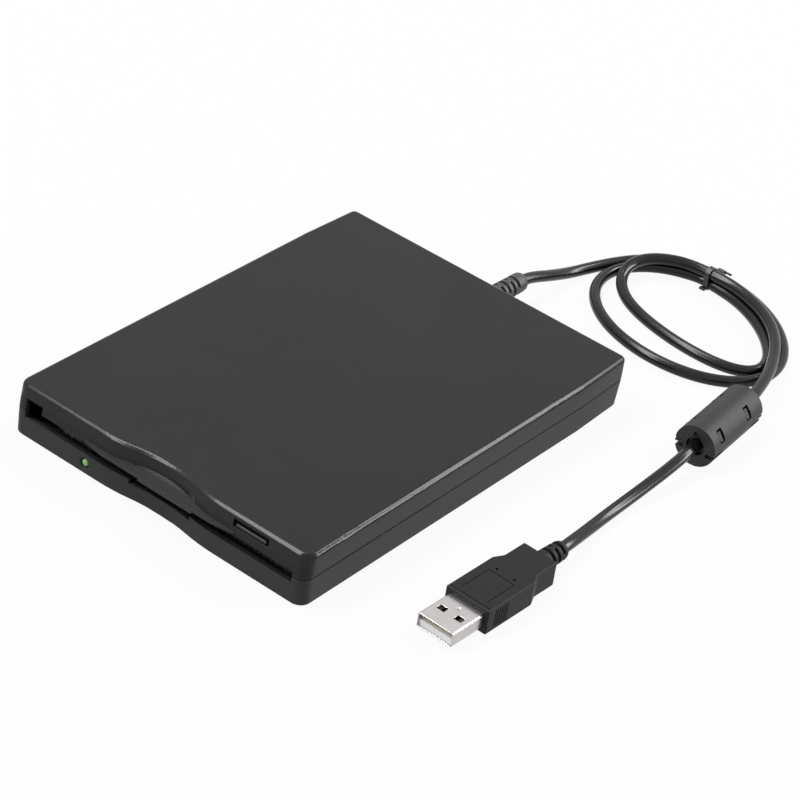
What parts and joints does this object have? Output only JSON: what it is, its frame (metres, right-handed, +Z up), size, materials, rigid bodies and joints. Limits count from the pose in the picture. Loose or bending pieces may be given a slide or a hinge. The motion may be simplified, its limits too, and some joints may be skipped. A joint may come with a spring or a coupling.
{
  "type": "external floppy disk drive",
  "caption": "Slim desktop disk drive in a flat case with a wide front slot, eject button, indicator light, and a captive coiled lead with a clip-on choke and flat plug",
  "frame": {"origin": "on the table under the middle of the drive, its lead left out", "axes": "+X to the right as seen from the disk slot, +Y towards the rear, where the lead leaves, +Z up"},
  "size_m": [0.1457, 0.226, 0.0166],
  "materials": {
    "bearing_brass": "sintered bronze",
    "button_plastic": "fine textured moulding",
    "carriage_plastic": "moulded",
    "case_plastic": "fine textured moulding",
    "chip_plastic": "moulded",
    "choke_plastic": "fine textured moulding",
    "circuit_board": "green solder mask",
    "coil_copper": "enamelled copper wire",
    "contact_gold": "gold plated",
    "cord_pvc": "soft glossy jacket",
    "ferrite": "pressed ferrite",
    "foot_rubber": "matt",
    "head_ceramic": "polished",
    "holder_steel": "stainless sheet",
    "light_lens": "tinted green lens",
    "magnet_ferrite": "bonded magnet",
    "motor_steel": "drawn can",
    "plug_plastic": "satin moulding",
    "plug_steel": "nickel plated",
    "relief_pvc": "soft moulding",
    "ribbon_plastic": "flat cable",
    "rod_steel": "ground steel",
    "screw_steel": "zinc plated",
    "socket_plastic": "moulded",
    "spring_steel": "spring wire",
    "tie_nylon": "smooth",
    "tongue_plastic": "moulded",
    "wire_plastic": "insulation",
    "zinc_sheet": "zinc plated sheet"
  },
  "bodies": {
    "case": {"board_studs": "rod_steel", "bottom_case": "case_plastic", "bridge_board": "circuit_board", "bridge_parts": "chip_plastic", "cable_tie": "tie_nylon", "case_screws": "screw_steel", "chassis": "zinc_sheet", "chassis_screws": "screw_steel", "choke_lower_cover": "choke_plastic", "choke_upper_cover": "choke_plastic", "cord_coil": "cord_pvc", "cord_lead": "cord_pvc", "cord_to_choke": "cord_pvc", "cord_to_plug": "cord_pvc", "drive_board": "circuit_board", "drive_chips": "chip_plastic", "drive_shield": "zinc_sheet", "eject_springs": "spring_steel", "ferrite_lower_half": "ferrite", "ferrite_upper_half": "ferrite", "guide_rod": "rod_steel", "lead_socket": "socket_plastic", "lead_wires": "wire_plastic", "led_board": "circuit_board", "motor_bracket": "zinc_sheet", "plug_boot": "plug_plastic", "plug_contacts": "contact_gold", "plug_grip": "plug_plastic", "plug_shell": "plug_steel", "plug_tongue": "tongue_plastic", "rail_brackets": "zinc_sheet", "ribbon_cable": "ribbon_plastic", "ribbon_sockets": "socket_plastic", "rubber_feet": "foot_rubber", "spindle_bearing": "bearing_brass", "stator_board": "circuit_board", "stator_coils": "coil_copper", "status_led": "light_lens", "stepper_motor": "motor_steel", "strain_relief": "relief_pvc", "top_cover": "case_plastic", "track_sensor": "chip_plastic"},
    "rotor": {"rotor_yoke": "motor_steel", "rotor_magnet": "magnet_ferrite", "spindle_shaft": "rod_steel", "spindle_hub": "motor_steel", "drive_pin": "rod_steel"},
    "screw": {"lead_screw": "rod_steel"},
    "carriage": {"head_carriage": "carriage_plastic", "lower_head": "head_ceramic", "guide_bush": "bearing_brass", "arm_pin": "rod_steel"},
    "upper_arm": {"head_arm": "carriage_plastic", "upper_head": "head_ceramic"},
    "holder": {"disk_holder": "holder_steel", "holder_pins": "rod_steel", "lever_pivot": "rod_steel"},
    "lever": {"shutter_lever": "zinc_sheet"},
    "slide": {"eject_slide": "zinc_sheet", "eject_button": "button_plastic"}
  },
  "joints": [
    {"name": "spindle_spin", "type": "hinge", "parent": "case", "child": "rotor", "pos_m": [0, -0.019, 0.005], "axis": [0, 0, 1], "continuous": true},
    {"name": "screw_turn", "type": "hinge", "parent": "case", "child": "screw", "pos_m": [0.013, 0.04, 0.0075], "axis": [0, 1, 0], "range_deg": [0, 1421]},
    {"name": "carriage_travel", "type": "slide", "parent": "case", "child": "carriage", "axis": [0, -1, 0], "range_m": [0, 0.0148]},
    {"name": "upper_arm_lift", "type": "hinge", "parent": "carriage", "child": "upper_arm", "pos_m": [0, 0.0474, 0.0113], "axis": [1, 0, 0], "range_deg": [0, 8.2]},
    {"name": "eject_travel", "type": "slide", "parent": "case", "child": "slide", "axis": [0, -1, 0], "range_m": [0, 0.004], "deforming": ["eject_springs"]},
    {"name": "holder_drop", "type": "slide", "parent": "case", "child": "holder", "axis": [0, 0, -1], "range_m": [0, 0.0014]},
    {"name": "shutter_lever_swing", "type": "hinge", "parent": "holder", "child": "lever", "pos_m": [0.042, 0.018, 0.011], "axis": [0, 0, -1], "range_deg": [0, 68], "stiffness_Nm_per_rad": 0.002}
  ],
  "couplings": [
    {"joint": "screw_turn", "follows": "carriage_travel", "rad_per_m": 1675.5},
    {"joint": "holder_drop", "follows": "eject_travel", "ratio": 0.3499},
    {"joint": "upper_arm_lift", "follows": "eject_travel", "rad_per_m": 35.78}
  ]
}
